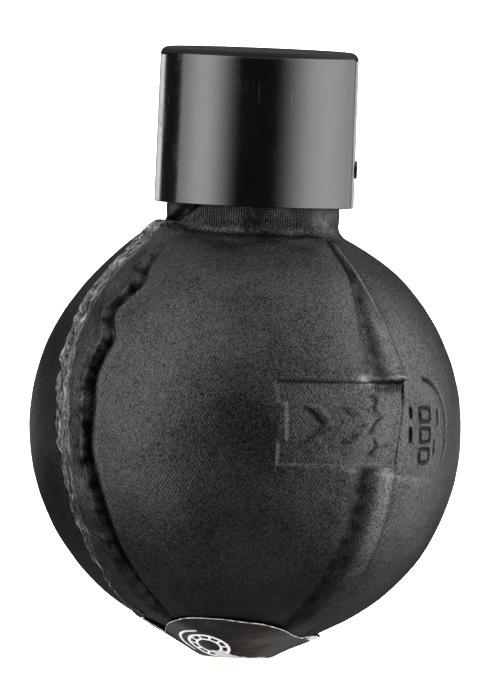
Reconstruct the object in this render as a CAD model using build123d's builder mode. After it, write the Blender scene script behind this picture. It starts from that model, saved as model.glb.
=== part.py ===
from build123d import *
import os
from math import acos, atan2, cos, degrees, hypot, radians, sin, sqrt

# A hollow moulded ball with a short neck, covered in sewn fabric and closed by a push-on cap.
#
# Millimetres. The origin is the centre of the flat foot under the ball, and +Z runs up the neck.
# The front is towards -Y. A bearing is an angle round the ball, in degrees from the front and
# positive towards +X. The moulded ball is two half shells glued on an upright plane. A base plug
# closes the hole under it, and a neck plug closes the neck. Four fabric gores cover the ball: three
# of their seams are sewn, and the fourth is closed by gluing a lap of the front gore over the left
# one. A fabric sleeve covers the neck, and a collar clamps its upper edge and carries the cap.

# Ball, measured on the outside of the fabric
ball_radius = 33.5
ball_height = 35.5  # of its centre, above the foot
foot_radius = 5.5

# Cap
cap_radius = 15.5
cap_bottom = 70.2
cap_top = 94.3
cap_draft = 0.1  # how much smaller the radius is at the top
cap_edge_radius = 1.3
cap_wall = 1.35
cap_roof = 1.5

# Fabric
fabric = 0.8
neck_radius = 13.25  # outside of the sleeve
sleeve_flare = 14.4  # radius where the sleeve's flared foot meets the gores
sleeve_fillet = 1.4
backing_gap = 0.4  # room for the soft backing of the cover
seam_raise = 0.45  # how far a turned seam allowance lifts the cover
seam_width = 8.7  # degrees of the ball that the allowance takes up
seam_gap = 0.1
band_half_height = 29.2  # how far the raised bands reach above and below the ball's centre
thread_radius = 0.14
thread_reach = 56.0  # degrees, above and below the ball's middle

# Lean of the sewn cover on the ball, about a level line at this bearing
lean_bearing = -45.0
cover_lean = 6.0
lap_lean = 5.0
seam_bearings = {"closing": -45.0, "right": 45.0, "back": 135.0, "left": 225.0}
lap_edge_bearing = -58.5
lap_root = 1.2  # degrees by which the lap reaches back over its own gore
glue_width = 1.2  # degrees

# Moulded shell
shell_wall = 2.2
neck_wall = 2.0
neck_top = 84.0
shell_clearance = 0.05
parting_bearing = 134.0
tongue_depth = 1.0
tongue_share = 0.3  # of the wall, for the tongue that locates one half in the other
base_hole_radius = 6.0
shell_fillet = 0.9

# Generic recessed badge on the shell: a plate with two chevrons, and a half-round with bars
badge_depth = 0.4
plate_bearing = 29.0
plate_width = 22.8
plate_height = 13.8
plate_rise = 1.3
plate_corner = 1.0
notch_width = 0.9
notch_height = 6.2
chevron_size = 6.0
chevron_bar = 1.5
chevron_spacing = 5.6
tab_bearing = 60.0
tab_width = 8.4
tab_height = 16.0
bar_length = 4.6
bar_width = 1.1
bar_pitch = 2.5
bar_count = 5

# Neck fittings
collar_radius = 14.0
collar_bottom = 74.0
collar_flange = 0.9
collar_hole = 10.6
plug_depth = 6.0
plug_wall = 1.4
plug_dimple_radius = 5.0
plug_dimple_depth = 0.8
cap_bore = 14.15
rib_count = 6
rib_width = 1.2
rib_radius = 12.65  # inside of the stop ribs
rib_gap = 0.1  # between the ribs and the collar
liner_radius = 12.4
liner_thickness = 1.0
liner_clearance = 0.1
pip_bearing = 90.0
pip_height = 2.8
pip_width = 2.0
pip_proud = 0.3
pip_level = 76.2

# Base
label_thickness = 0.25
label_radius = 15.3
label_middle = (10.2, -33.65)  # a point on its outside, from the ball's centre
label_rim_drop = 31.1
flange_radius = 13.0
foot_clearance = 0.08

# Worked out from those
shell_radius = ball_radius - fabric - backing_gap
shell_inside = shell_radius - shell_wall
neck_tube_radius = neck_radius - fabric - shell_clearance
neck_bore = neck_tube_radius - neck_wall
foot_level = -ball_height  # from the ball's centre
cover_foot = foot_level + label_thickness + foot_clearance
cover_hole = foot_radius + 0.1
far = 3 * ball_radius  # longer than anything it cuts
foot_distance = hypot(cover_hole, cover_foot)
cone_angle = degrees(atan2(cover_hole, -cover_foot)) + degrees(acos(ball_radius / foot_distance))

centre = Vector(0, 0, ball_height)
section = Plane(origin=centre, x_dir=(1, 0, 0), z_dir=(0, -1, 0))  # (radius, height from centre)


def level(bearing):
    """The level unit vector at a bearing."""
    return Vector(sin(radians(bearing)), -cos(radians(bearing)), 0)


def upright_plane(bearing):
    """The upright plane through the axis at a bearing, facing towards larger bearings."""
    return Plane(origin=centre, x_dir=level(bearing), z_dir=level(bearing + 90))


def seam_plane(bearing, lean=cover_lean):
    """The same, turned with the cover as it leans on the ball."""
    axis = Axis((0, 0, 0), tuple(level(lean_bearing)))
    along = level(bearing).rotate(axis, -lean)
    across = level(bearing + 90).rotate(axis, -lean)
    return Plane(origin=centre, x_dir=along, z_dir=across)


def facing_plane(bearing):
    """The plane through the ball's centre that faces outwards at a bearing, with +Z up in it."""
    return Plane(origin=centre, x_dir=level(bearing + 90), z_dir=level(bearing))


def cone_height(radius, at):
    """How low the tangent cone under a sphere of that radius is, at a distance from the axis."""
    turn = radians(cone_angle)
    return -(radius - at * sin(turn)) / cos(turn)


def meeting_height(sphere, tube):
    """How high above the ball's centre a tube round the axis comes out of a sphere."""
    return sqrt(sphere**2 - tube**2)


def keep_right_half():
    """Trims the current profile to one side of the axis."""
    with Locations((-far / 2, 0)):
        Rectangle(far, 2 * far, mode=Mode.SUBTRACT)


def ball_profile(radius):
    """A disc of the ball's section with the cone that runs from it down to the foot."""
    turn = radians(cone_angle)
    tip = cone_height(radius, cover_hole)
    with BuildSketch() as profile:
        Circle(radius)
        Polygon((0, 0), (radius * sin(turn), -radius * cos(turn)), (cover_hole, tip), (0, tip),
                align=None)
    return profile.sketch


def ball_layer(inner, outer, half_height=band_half_height):
    """A part of the space between two spheres, cut level above and below."""
    with BuildPart() as layer:
        with BuildSketch(section):
            Circle(outer)
            Circle(inner, mode=Mode.SUBTRACT)
            keep_right_half()
            Rectangle(far, 2 * half_height, mode=Mode.INTERSECT)
        revolve(axis=Axis.Z)
    return layer.part


def between(solid, first, second):
    """The part of a solid from one plane through the axis to another."""
    with BuildPart() as slice_:
        add(solid)
        split(bisect_by=first, keep=Keep.TOP)
        split(bisect_by=second, keep=Keep.BOTTOM)
    return slice_.part


# Moulded shell

def shell_wall_profile(inset):
    """The wall's profile, thinned by a share of its thickness on both sides."""
    trim = inset * shell_wall
    neck_trim = inset * neck_wall
    top = neck_top - ball_height
    with BuildSketch(section) as profile:
        Circle(shell_radius - trim)
        with Locations((0, top / 2)):
            Rectangle(2 * (neck_tube_radius - neck_trim), top)
        Circle(shell_inside + trim, mode=Mode.SUBTRACT)
        with Locations((0, top / 2)):
            Rectangle(2 * (neck_bore + neck_trim), top, mode=Mode.SUBTRACT)
        with Locations((0, -far / 2)):
            Rectangle(2 * (base_hole_radius + trim), far, mode=Mode.SUBTRACT)
        keep_right_half()
        if inset == 0:
            corner = (neck_tube_radius, meeting_height(shell_radius, neck_tube_radius))
            fillet(profile.vertices().sort_by_distance(corner)[0], shell_fillet)
    return profile.sketch


def plain_shell():
    with BuildPart() as shell:
        add(shell_wall_profile(0))
        revolve(axis=Axis.Z)
    return shell.part


def tongue(clearance):
    """The rib that one half has along its parting face, or with clearance, the groove for it."""
    share = (1 - tongue_share) / 2 - clearance / shell_wall
    face = upright_plane(parting_bearing)
    with BuildPart() as rib:
        add(shell_wall_profile(share))
        revolve(axis=Axis.Z)
        split(bisect_by=face.offset(-0.2), keep=Keep.TOP)
        split(bisect_by=face.offset(tongue_depth + clearance), keep=Keep.BOTTOM)
    return rib.part


def badge_cut(bearing, draw):
    """What a badge's recess takes out of the shell."""
    with BuildPart() as cut:
        with BuildSketch(facing_plane(bearing)):
            draw()
        extrude(amount=far)
        with Locations(centre):
            Sphere(shell_radius - badge_depth, mode=Mode.SUBTRACT)
    return cut.part


def chevron(x, y):
    """One raised arrowhead in the plate, pointing right."""
    half, reach = chevron_size / 2, chevron_size / 2
    Polygon((x, y + half), (x + chevron_bar, y + half), (x + chevron_bar + reach, y),
            (x + chevron_bar, y - half), (x, y - half), (x + reach, y), align=None,
            mode=Mode.SUBTRACT)


def draw_plate():
    with Locations((0, plate_rise)):
        RectangleRounded(plate_width, plate_height, plate_corner)
    with Locations((-plate_width / 2 + notch_width / 2, plate_rise)):
        Rectangle(notch_width, notch_height, mode=Mode.SUBTRACT)
    for step in (-1, 0):
        chevron(step * chevron_spacing, plate_rise)


def draw_tab():
    with BuildLine() as outline:
        left, right, half = -tab_width / 2, tab_width / 2, tab_height / 2
        Line((left, -half), (left, half))
        ThreePointArc((left, half), (right, 0), (left, -half))
    make_face(outline.edges())
    with GridLocations(bar_length, bar_pitch, 1, bar_count):
        with Locations((-tab_width / 4 + 0.4, 0)):
            Rectangle(bar_length, bar_width, mode=Mode.SUBTRACT)


shell_body = plain_shell()
with BuildPart() as shell_front_half:
    add(shell_body)
    split(bisect_by=upright_plane(parting_bearing), keep=Keep.BOTTOM)
    add(tongue(0))
    add(badge_cut(plate_bearing, draw_plate), mode=Mode.SUBTRACT)
    add(badge_cut(tab_bearing, draw_tab), mode=Mode.SUBTRACT)

with BuildPart() as shell_back_half:
    add(shell_body)
    split(bisect_by=upright_plane(parting_bearing), keep=Keep.TOP)
    add(tongue(shell_clearance), mode=Mode.SUBTRACT)

with BuildPart() as base_plug:
    with BuildSketch(section):
        inside = ball_radius - fabric - shell_clearance
        nose = foot_radius - 0.2
        with Locations((0, -far / 2)):
            Rectangle(2 * flange_radius, far)
        add(ball_profile(inside), mode=Mode.INTERSECT)
        Circle(shell_radius + 0.02, mode=Mode.SUBTRACT)
        with Locations((0, (foot_level + label_thickness - shell_inside) / 2)):
            Rectangle(2 * nose, foot_level * -1 - label_thickness - shell_inside)
        with Locations((0, -shell_inside - shell_wall / 2)):
            Rectangle(2 * (base_hole_radius - shell_clearance), shell_wall + 1.0)
        keep_right_half()
    revolve(axis=Axis.Z)

with BuildPart() as neck_plug:
    with BuildSketch(Plane.XY.offset(neck_top - plug_depth)):
        Circle(neck_bore - shell_clearance)
    extrude(amount=plug_depth + collar_flange)
    with BuildSketch(Plane.XY.offset(neck_top - plug_depth)):
        Circle(neck_bore - shell_clearance - plug_wall)
    extrude(amount=plug_depth + collar_flange - plug_wall - plug_dimple_depth, mode=Mode.SUBTRACT)
    with BuildSketch(Plane.XY.offset(neck_top + collar_flange)):
        Circle(plug_dimple_radius)
    extrude(amount=-plug_dimple_depth, mode=Mode.SUBTRACT)
    chamfer(neck_plug.edges().group_by(Axis.Z)[-1].sort_by(SortBy.RADIUS)[-1], 0.3)

with BuildPart() as neck_collar:
    collar_inside = neck_radius + shell_clearance
    with BuildSketch(Plane.XY.offset(collar_bottom)):
        Circle(collar_radius)
        Circle(collar_inside, mode=Mode.SUBTRACT)
    extrude(amount=neck_top - collar_bottom)
    with BuildSketch(Plane.XY.offset(neck_top)):
        Circle(collar_radius)
        Circle(collar_hole, mode=Mode.SUBTRACT)
    extrude(amount=collar_flange)
    fillet(neck_collar.edges().group_by(Axis.Z)[-1].sort_by(SortBy.RADIUS)[-1], 0.4)


# Fabric cover

def cover_shell():
    """The whole ball's cover, before it is cut into gores."""
    with BuildPart() as cover:
        with BuildSketch(section):
            add(ball_profile(ball_radius))
            add(ball_profile(ball_radius - fabric), mode=Mode.SUBTRACT)
            with Locations((0, -far / 2)):
                Rectangle(2 * cover_hole, far, mode=Mode.SUBTRACT)
            with Locations((0, far / 2)):
                Rectangle(2 * sleeve_flare, far, mode=Mode.SUBTRACT)
            keep_right_half()
        revolve(axis=Axis.Z)
    return cover.part


with BuildPart() as neck_sleeve:
    with BuildSketch(section) as sleeve_profile:
        sleeve_height = neck_top - ball_height
        Circle(ball_radius)
        with Locations((0, sleeve_height / 2)):
            Rectangle(2 * neck_radius, sleeve_height)
        Circle(ball_radius - fabric, mode=Mode.SUBTRACT)
        with Locations((0, sleeve_height / 2)):
            Rectangle(2 * (neck_radius - fabric), sleeve_height, mode=Mode.SUBTRACT)
            Rectangle(2 * (sleeve_flare - seam_gap), sleeve_height, mode=Mode.INTERSECT)
        keep_right_half()
        corner = (neck_radius, meeting_height(ball_radius, neck_radius))
        fillet(sleeve_profile.vertices().sort_by_distance(corner)[0], sleeve_fillet)
    revolve(axis=Axis.Z)

whole_cover = cover_shell()
band_layer = ball_layer(ball_radius - fabric + seam_raise, ball_radius + seam_raise)
strip_room = ball_layer(ball_radius - fabric - 0.1, ball_radius - fabric + seam_raise,
                        band_half_height - 0.6)
strip_layer = ball_layer(shell_radius + 0.03, ball_radius - fabric + seam_raise - 0.05,
                         band_half_height - 1.0)
gore_names = {"front": ("closing", "right"), "right": ("right", "back"),
              "back": ("back", "left"), "left": ("left", "closing")}


def gore(first, second):
    """One fabric gore, raised where a seam's allowance is turned under its second edge."""
    start = seam_plane(seam_bearings[first])
    end = seam_plane(seam_bearings[second])
    band = seam_plane(seam_bearings[second] - seam_width)
    with BuildPart() as panel:
        add(between(whole_cover, start.offset(seam_gap / 2), end.offset(-seam_gap / 2)))
        if second != "closing":
            add(between(strip_room, band, end), mode=Mode.SUBTRACT)
            add(between(band_layer, band, end.offset(-seam_gap / 2)))
    return panel.part


def seam_strip(name):
    """The two allowances of a sewn seam, pressed together and turned under the cover."""
    start = seam_plane(seam_bearings[name] - seam_width + 0.4)
    end = seam_plane(seam_bearings[name] - 0.9)
    return between(strip_layer, start, end)


def seam_thread(name):
    """The thread along the inside of a sewn seam, between the level cuts of the bands."""
    plane = seam_plane(seam_bearings[name])
    track = shell_radius + backing_gap / 2 + 0.02
    with BuildPart() as thread:
        start = Plane(origin=centre + plane.x_dir * track, x_dir=plane.x_dir, z_dir=plane.y_dir)
        with BuildSketch(start):
            Circle(thread_radius)
        around = Axis(tuple(centre), tuple(plane.z_dir))
        revolve(axis=around, revolution_arc=thread_reach)
        mirrored = thread.part.mirror(Plane(origin=centre, z_dir=plane.y_dir))
        add(mirrored)
    return thread.part


with BuildPart() as gore_front:
    add(gore("closing", "right"))
    lap_edge = seam_plane(lap_edge_bearing, lap_lean)
    lap_end = seam_plane(seam_bearings["closing"] + lap_root)
    lap_start = seam_plane(seam_bearings["closing"] + 0.2)
    add(between(ball_layer(ball_radius + 0.03, ball_radius + fabric), lap_edge, lap_end))
    add(between(ball_layer(ball_radius - 0.3, ball_radius + 0.3), lap_start, lap_end))

with BuildPart() as closing_seam_glue:
    add(between(ball_layer(ball_radius + 0.03, ball_radius + 0.45, band_half_height - 0.8),
                seam_plane(lap_edge_bearing - glue_width, lap_lean),
                seam_plane(lap_edge_bearing - 0.1, lap_lean)))

# Base label: flat under the foot, then a dished skirt that stands a little off the fabric
with BuildPart() as base_label:
    with BuildSketch(section):
        with BuildLine():
            rim = (label_radius, -label_rim_drop)
            lift = (label_radius - 0.12, -label_rim_drop + label_thickness - 0.02)
            above = (label_middle[0] - 0.1, label_middle[1] + label_thickness)
            Line((0, foot_level), (foot_radius, foot_level))
            ThreePointArc((foot_radius, foot_level), label_middle, rim)
            Line(rim, lift)
            ThreePointArc(lift, above, (foot_radius, foot_level + label_thickness))
            Line((foot_radius, foot_level + label_thickness), (0, foot_level + label_thickness))
            Line((0, foot_level + label_thickness), (0, foot_level))
        make_face()
    revolve(axis=Axis.Z)


# Cap, its liner and the raised pip on its side

with BuildPart() as cap:
    with BuildSketch(Plane.XZ):
        with BuildLine():
            Polyline((0, cap_top), (cap_radius - cap_draft, cap_top), (cap_radius, cap_bottom),
                     (cap_bore, cap_bottom), (cap_bore, cap_top - cap_roof),
                     (0, cap_top - cap_roof), close=True)
        make_face()
    revolve(axis=Axis.Z)
    fillet(cap.edges().group_by(Axis.Z)[-1], cap_edge_radius)
    mouth = cap.edges().group_by(Axis.Z)[0]
    chamfer(mouth, 0.15)
    rib_bottom = neck_top + collar_flange + rib_gap
    with BuildSketch(Plane.XY.offset(rib_bottom)):
        with PolarLocations((rib_radius + cap_bore) / 2 + 0.1, rib_count):
            Rectangle(cap_bore - rib_radius + 0.2, rib_width)
    extrude(amount=cap_top - cap_roof - rib_bottom + 0.1)
    pip_plane = Plane(origin=(0, 0, pip_level), x_dir=level(pip_bearing + 90),
                      z_dir=level(pip_bearing))
    with BuildSketch(pip_plane.offset(cap_radius - 0.6)):
        SlotOverall(pip_height, pip_width, rotation=90)
    extrude(amount=0.6 + pip_proud)

with BuildPart() as cap_liner:
    with BuildSketch(Plane.XY.offset(cap_top - cap_roof - liner_clearance)):
        Circle(liner_radius)
    extrude(amount=-liner_thickness)

parts = {
    "shell_front_half": shell_front_half.part,
    "shell_back_half": shell_back_half.part,
    "base_plug": base_plug.part,
    "neck_plug": neck_plug.part,
    "neck_collar": neck_collar.part,
    "neck_sleeve": neck_sleeve.part,
    "cover_gore_front": gore_front.part,
    "closing_seam_glue": closing_seam_glue.part,
    "base_label": base_label.part,
    "cap": cap.part,
    "cap_liner": cap_liner.part,
}
for name in ("right", "back", "left"):
    parts[f"cover_gore_{name}"] = gore(*gore_names[name])
    parts[f"seam_strip_{name}"] = seam_strip(name)
    parts[f"seam_thread_{name}"] = seam_thread(name)

os.makedirs("parts", exist_ok=True)
for name, part in parts.items():
    part.label = name
    export_step(part, f"parts/{name}.step")
    print(name, len(part.solids()), round(part.volume, 1), part.bounding_box().size)
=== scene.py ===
"""The looks of a fabric-covered ball with a push-on cap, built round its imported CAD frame.

Metres, +Z up the neck, front towards -Y. On the ball a point is given by its bearing, in degrees
round +Z from the front and positive towards +X, and its polar angle, in degrees down from +Z.
"""
import math

import bpy
import numpy as np
from mathutils import Matrix, Vector


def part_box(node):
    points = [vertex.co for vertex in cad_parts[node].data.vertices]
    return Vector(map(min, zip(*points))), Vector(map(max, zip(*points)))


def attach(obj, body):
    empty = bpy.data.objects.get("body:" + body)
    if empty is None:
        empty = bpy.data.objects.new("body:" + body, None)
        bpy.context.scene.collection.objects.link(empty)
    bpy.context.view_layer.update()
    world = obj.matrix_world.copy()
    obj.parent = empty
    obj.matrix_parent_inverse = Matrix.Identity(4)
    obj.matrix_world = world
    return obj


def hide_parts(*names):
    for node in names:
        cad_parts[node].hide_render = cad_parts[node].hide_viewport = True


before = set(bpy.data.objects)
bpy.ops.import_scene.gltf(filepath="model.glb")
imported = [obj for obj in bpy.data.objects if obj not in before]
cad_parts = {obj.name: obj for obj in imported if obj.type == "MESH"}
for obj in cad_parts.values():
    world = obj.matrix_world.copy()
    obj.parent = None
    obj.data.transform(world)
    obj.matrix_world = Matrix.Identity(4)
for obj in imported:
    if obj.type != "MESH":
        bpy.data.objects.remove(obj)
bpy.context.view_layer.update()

MM = 0.001
BALL_R = -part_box("cover_gore_left")[0].x  # over the fabric
BALL_Z = 35.5 * MM  # the ball's centre, above the foot
SLEEVE_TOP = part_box("neck_sleeve")[1].z
NECK_R = 13.25 * MM
CLOTH = 0.72 * MM  # thickness
SHELL_R = 32.35 * MM  # nothing soft goes deeper than this into the ball


# Camera: a long lens, a little above the object, turned so that the object leans to the right

def make_camera():
    elevation, roll = math.radians(2.1), math.radians(2.3)
    distance = 3.0
    frame_height = 106.87 * MM  # what the picture takes in at the object
    above_ball, left_of_ball = 12.95 * MM, 0.76 * MM
    right, up = Vector((1, 0, 0)), Vector((0, math.sin(elevation), math.cos(elevation)))
    look = Vector((0, math.cos(elevation), -math.sin(elevation)))
    right, up = (right * math.cos(roll) + up * math.sin(roll),
                 up * math.cos(roll) - right * math.sin(roll))
    aim = Vector((0, 0, BALL_Z)) + up * above_ball - right * left_of_ball
    data = bpy.data.cameras.new("camera")
    data.sensor_width = 36
    data.lens = data.sensor_width * distance / frame_height
    data.clip_end = 20
    camera = bpy.data.objects.new("camera", data)
    camera.matrix_world = (Matrix((right, up, -look)).transposed().to_4x4())
    camera.location = aim - look * distance
    bpy.context.scene.collection.objects.link(camera)
    bpy.context.scene.camera = camera


make_camera()


# Node helpers

class Nodes:
    """Adds nodes to a tree. A socket's value may be a number, a colour or another node's output."""

    def __init__(self, tree):
        self.tree = tree
        tree.nodes.clear()

    def add(self, kind, inputs=None, **settings):
        node = self.tree.nodes.new(kind)
        for key, value in settings.items():
            setattr(node, key, value)
        for key, value in (inputs or {}).items():
            self.put(node.inputs[key], value)
        return node

    def put(self, socket, value):
        if isinstance(value, bpy.types.NodeSocket):
            self.tree.links.new(value, socket)
        else:
            socket.default_value = value

    def math(self, operation, result, *others, clamp=False):
        """Takes the values in their order, two at a time."""
        for other in others or (0.0,):
            node = self.add("ShaderNodeMath", {0: result, 1: other}, operation=operation, use_clamp=clamp)
            result = node.outputs[0]
        return result

    def times(self, *values, clamp=False):
        return self.math("MULTIPLY", *values, clamp=clamp)

    def plus(self, *values, clamp=False):
        return self.math("ADD", *values, clamp=clamp)

    def minus(self, value, other):
        return self.math("SUBTRACT", value, other)

    def most(self, *values):
        return self.math("MAXIMUM", *values)

    def part(self, vector, axis):
        return self.add("ShaderNodeSeparateXYZ", {0: vector}).outputs[axis]

    def ramp(self, value, low, high, start=0.0, end=1.0, smooth=True):
        """Goes from start to end as value goes from low to high, and stays there."""
        kind = "SMOOTHSTEP" if smooth else "LINEAR"
        node = self.add("ShaderNodeMapRange", {"Value": value, "From Min": low, "From Max": high,
                                               "To Min": start, "To Max": end},
                        interpolation_type=kind, clamp=True)
        return node.outputs["Result"]

    def window(self, value, low, high, far_high, far_low):
        """0 at low, 1 from high to far_high, and 0 again at far_low."""
        return self.times(self.ramp(value, low, high), self.ramp(value, far_high, far_low, 1, 0))

    def mix(self, share, a, b):
        """Between two colours."""
        node = self.add("ShaderNodeMix", data_type="RGBA")
        self.put(node.inputs["Factor"], share)
        self.put(node.inputs[6], a)
        self.put(node.inputs[7], b)
        return node.outputs[2]

    def noise(self, where, scale, detail=2.0, roughness=0.5, distortion=0.0):
        node = self.add("ShaderNodeTexNoise", {"Vector": where, "Scale": scale, "Detail": detail,
                                               "Roughness": roughness, "Distortion": distortion})
        return node.outputs["Fac"]

    def stretched(self, where, x, y, z, turn=0.0):
        node = self.add("ShaderNodeMapping", {"Vector": where, "Scale": (x, y, z),
                                              "Rotation": (0, 0, turn)})
        return node.outputs["Vector"]


class Surface(Nodes):
    """A material's nodes and its Principled shader."""

    def __init__(self, name):
        self.material = bpy.data.materials.new(name)
        self.material.use_nodes = True
        super().__init__(self.material.node_tree)
        self.shader = self.add("ShaderNodeBsdfPrincipled")
        self.add("ShaderNodeOutputMaterial", {"Surface": self.shader.outputs[0]})
        self.point = self.add("ShaderNodeTexCoord").outputs["Object"]

    def set(self, name, value):
        self.put(self.shader.inputs[name], value)

    def flat(self):
        """The point on the cloth or label as if it were laid flat, in metres."""
        return self.add("ShaderNodeUVMap", uv_map="cloth").outputs["UV"]

    def specks(self, scale, share, radius):
        """Round dots, radius in mm: a share of the cells of a grid of that scale hold one."""
        radius *= MM
        node = self.add("ShaderNodeTexVoronoi", {"Vector": self.point, "Scale": scale, "Randomness": 1.0})
        kept = self.ramp(node.outputs["Color"], 1 - share, 1 - share * 0.8, smooth=False)
        inside = self.minus(self.times(kept, radius * scale), node.outputs["Distance"])
        return self.ramp(inside, 0, 0.3 * radius * scale)

    def bands(self, where, pitch, distortion, detail, direction, detail_scale=1.0):
        """Wavy stripes, one to every pitch, in millimetres."""
        stripes_at_scale_one = 3.18  # in a metre
        scale = 1 / (pitch * MM) / stripes_at_scale_one
        node = self.add("ShaderNodeTexWave", {"Vector": where, "Scale": scale, "Detail": detail,
                                              "Distortion": distortion, "Detail Scale": detail_scale},
                        wave_type="BANDS", bands_direction=direction)
        return node.outputs["Fac"]

    def finished(self, colour, roughness, *bumps, specular=None):
        """The material. Each bump is (height, depth in mm), from the coarsest to the finest."""
        self.set("Base Color", colour)
        self.set("Roughness", roughness)
        if specular is not None:
            self.set("Specular IOR Level", specular)
        under = {}  # the normal of the bump before it
        for height, depth in bumps:
            node = self.add("ShaderNodeBump", {"Height": height, "Distance": depth * MM, **under})
            under = {"Normal": node.outputs["Normal"]}
        for normal in under.values():
            self.set("Normal", normal)
        return self.material


def grey(value, warm=0.0):
    return (value * (1 + warm), value, value * (1 - warm), 1)


# Studio: two tall soft boxes, a soft light overhead, and a pale floor

def make_light():
    """The lights as a far surround: what shows in gloss is where the boxes are."""
    world = bpy.data.worlds.new("studio")
    bpy.context.scene.world = world
    world.use_nodes = True
    n = Nodes(world.node_tree)
    ahead = n.add("ShaderNodeTexCoord").outputs["Generated"]
    x, y, z = (n.part(ahead, axis) for axis in range(3))
    towards_front = n.times(y, -1.0)
    bearing = n.times(n.math("ARCTAN2", x, towards_front), 180 / math.pi)
    height = n.times(n.math("ARCSINE", z), 180 / math.pi)

    left = n.times(n.ramp(bearing, -18, -64, 0, 6.8), n.ramp(bearing, -64, -101, 1, 0.42),
                   n.ramp(bearing, -100, -103, 1, 0))
    right = n.times(n.ramp(bearing, 18, 74, 0, 6.2), n.ramp(bearing, 78, 145, 1, 0.2),
                    n.ramp(bearing, 146, 150, 1, 0))
    boxes = n.times(n.plus(left, right), n.ramp(height, -45, -18), n.ramp(height, 75, 45))
    overhead = n.ramp(height, 6, 62, 0, 2.2)
    # a bright sweep behind the object, low down, that only shows along the cap's two sides
    sweep = n.plus(n.times(n.ramp(bearing, -139, -145), n.ramp(bearing, -145, -171, 2.8, 0.4)),
                   n.times(n.ramp(bearing, 152, 156), n.ramp(bearing, 156, 171, 1.7, 0.5)))
    sweep = n.times(sweep, n.ramp(height, 0.4, 0.2), n.ramp(height, -6, -4))
    steep_back = n.times(n.ramp(height, -36, -54), n.ramp(towards_front, 0.1, -0.3))
    below = n.times(n.ramp(height, -8, -50, 0.03, 0.95), n.ramp(steep_back, 0, 1, 1, 0.5, smooth=False))
    total = n.plus(n.plus(boxes, overhead), n.plus(sweep, below))

    light = n.add("ShaderNodeBackground", {"Color": grey(1), "Strength": total})
    backdrop = n.add("ShaderNodeBackground", {"Color": grey(1), "Strength": 1.0})
    seen = n.add("ShaderNodeLightPath").outputs["Is Camera Ray"]
    both = n.add("ShaderNodeMixShader", {0: seen, 1: light.outputs[0], 2: backdrop.outputs[0]})
    n.add("ShaderNodeOutputWorld", {"Surface": both.outputs[0]})
    bpy.context.scene.view_settings.view_transform = "Standard"


def make_floor():
    """A plain pale floor, which can be seen through from below."""
    half = 6.0
    mesh = bpy.data.meshes.new("floor")
    mesh.from_pydata([(-half, -half, 0), (half, -half, 0), (half, half, 0), (-half, half, 0)],
                     [], [(0, 1, 2, 3)])
    floor = bpy.data.objects.new("floor", mesh)
    bpy.context.scene.collection.objects.link(floor)
    n = Surface("pale_floor")
    n.set("Emission Color", grey(1.0))
    n.set("Emission Strength", 0.75)
    clear = n.add("ShaderNodeBsdfTransparent").outputs[0]
    under = n.add("ShaderNodeNewGeometry").outputs["Backfacing"]
    mixed = n.add("ShaderNodeMixShader", {0: under, 1: n.shader.outputs[0], 2: clear})
    n.add("ShaderNodeOutputMaterial", {"Surface": mixed.outputs[0]}, is_active_output=True)
    mesh.materials.append(n.finished(grey(0.85), 0.9))
    floor.visible_diffuse = False
    floor.visible_glossy = False


make_light()
make_floor()


# Mesh helpers

def smooth(value, low, high):
    """0 at low, 1 at high, with a smooth rise between."""
    t = np.clip((np.asarray(value, float) - low) / (high - low), 0, 1)
    return t * t * (3 - 2 * t)


def window(value, low, high, far_high, far_low):
    """0 at low, 1 from high to far_high, and 0 again at far_low."""
    return smooth(value, low, high) * smooth(value, far_low, far_high)


def hump(value, middle, width):
    """1 at the middle, falling smoothly to 0 about width away."""
    return np.exp(-(((value - middle) / (0.55 * width)) ** 2))


def waves(points, size, seed, count=14):
    """A smooth irregular field from about -1 to 1, whose swells are about size across."""
    rng = np.random.default_rng(seed)
    total = np.zeros(points.shape[:-1])
    for _ in range(count):
        direction = rng.normal(size=points.shape[-1])
        direction /= np.linalg.norm(direction)
        rate = 2 * math.pi / (size * rng.uniform(0.7, 1.5))
        total += np.sin(points @ direction * rate + rng.uniform(0, 2 * math.pi))
    return total / math.sqrt(count)


def sine(degrees):
    return np.sin(np.radians(degrees))


def cosine(degrees):
    return np.cos(np.radians(degrees))


def wrapped(bearing):
    """The same bearing, from -180 to 180 degrees."""
    return (bearing + 180) % 360 - 180


def degree_width(polar):
    """Length of one degree of bearing on the ball, in millimetres."""
    return sine(polar) * math.radians(1) * BALL_R / MM


def on_ball(bearing, polar, radius=BALL_R):
    """Points at a distance from the ball's centre."""
    b, p = np.radians(bearing), np.radians(polar)
    flat = radius * np.sin(p)
    return np.stack([flat * np.sin(b), -flat * np.cos(b), BALL_Z + radius * np.cos(p)], -1)


def grid_solid(name, outer, inner, uv=None, ring=False):
    """A closed mesh between two grids of points, rows down and columns to the right."""
    rows, columns = outer.shape[:2]
    index = np.arange(rows * columns).reshape(rows, columns)
    if ring:
        index = np.concatenate([index, index[:, :1]], 1)
    back = index + rows * columns

    def quads(a, b, c, d):
        return np.stack([a, b, c, d], -1).reshape(-1, 4)

    faces = [quads(index[:-1, :-1], index[1:, :-1], index[1:, 1:], index[:-1, 1:]),
             quads(back[:-1, :-1], back[:-1, 1:], back[1:, 1:], back[1:, :-1]),
             quads(index[0, :-1], index[0, 1:], back[0, 1:], back[0, :-1]),
             quads(index[-1, 1:], index[-1, :-1], back[-1, :-1], back[-1, 1:])]
    if not ring:
        faces += [quads(index[1:, 0], index[:-1, 0], back[:-1, 0], back[1:, 0]),
                  quads(index[:-1, -1], index[1:, -1], back[1:, -1], back[:-1, -1])]
    points = np.concatenate([outer.reshape(-1, 3), inner.reshape(-1, 3)])
    return mesh_piece(name, points, np.concatenate(faces), uv)


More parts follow.
